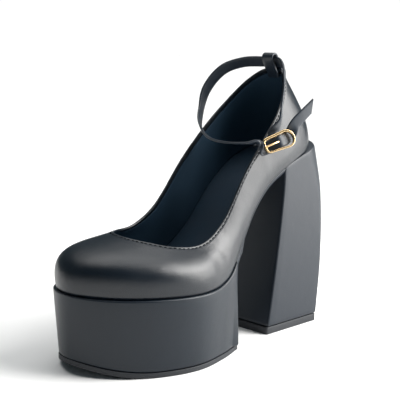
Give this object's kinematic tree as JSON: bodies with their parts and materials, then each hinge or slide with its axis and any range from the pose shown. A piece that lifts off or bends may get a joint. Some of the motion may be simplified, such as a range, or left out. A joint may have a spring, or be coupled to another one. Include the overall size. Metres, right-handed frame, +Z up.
{
  "type": "platform shoe",
  "caption": "Black leather ankle-strap platform court shoe with a tall curved block heel and a gold buckle, left foot.",
  "frame": {"origin": "middle of the footprint box, on the ground", "axes": "+Z up, toe towards -Y, the wearer's outer side towards +X"},
  "size_m": [0.0964, 0.2272, 0.2069],
  "materials": {
    "upper_leather": "smooth, semi-gloss black",
    "cover_leather": "smooth, satin black",
    "heel_cover": "smooth, satin charcoal black",
    "strap_leather": "smooth, satin black, painted edges",
    "sock_leather": "matte brown black",
    "tread_rubber": "matte black",
    "gold_metal": "polished pale gold"
  },
  "bodies": {
    "root": {"upper": "upper_leather", "platform": "cover_leather", "outsole": "tread_rubber", "insole": "sock_leather", "heel_block": "heel_cover", "heel_top_piece": "tread_rubber", "ankle_strap": "strap_leather", "back_loop": "strap_leather", "buckle_frame": "gold_metal", "buckle_bar": "gold_metal", "buckle_prong": "gold_metal"}
  },
  "joints": []
}
